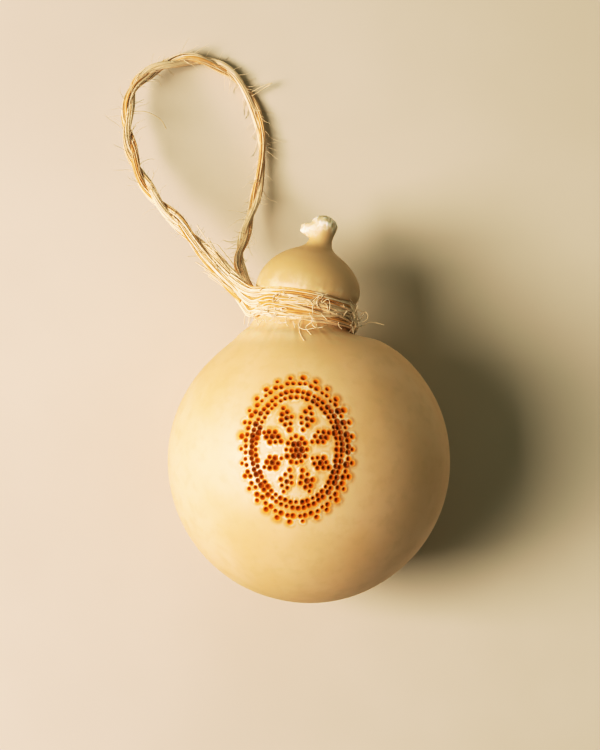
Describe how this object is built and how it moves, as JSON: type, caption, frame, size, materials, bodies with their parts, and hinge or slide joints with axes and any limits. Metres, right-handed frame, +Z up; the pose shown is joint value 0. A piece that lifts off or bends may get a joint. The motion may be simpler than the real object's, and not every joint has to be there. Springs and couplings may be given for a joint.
{
  "type": "caciocavallo cheese",
  "caption": "Round hanging cheese lying on its side, with a tied neck, domed head, pinched stub, dotted burnt rosette and a loop of natural-fibre twine.",
  "frame": {"origin": "on the table, under the middle of the box of the cheese and its binding", "axes": "+Z up with the burnt mark facing up, +Y along the cheese from the ball to the head and stub, +X to the right"},
  "size_m": [0.1473, 0.2491, 0.1221],
  "materials": {
    "rind": "smooth waxy cheese rind with a soft sheen, cream yellow, burnt brown in the pits of the mark",
    "twine": "loosely twisted natural fibre, golden tan to pale cream, frayed"
  },
  "bodies": {
    "root": {"cheese": "rind", "binding": "twine", "loop": "twine"}
  },
  "joints": []
}
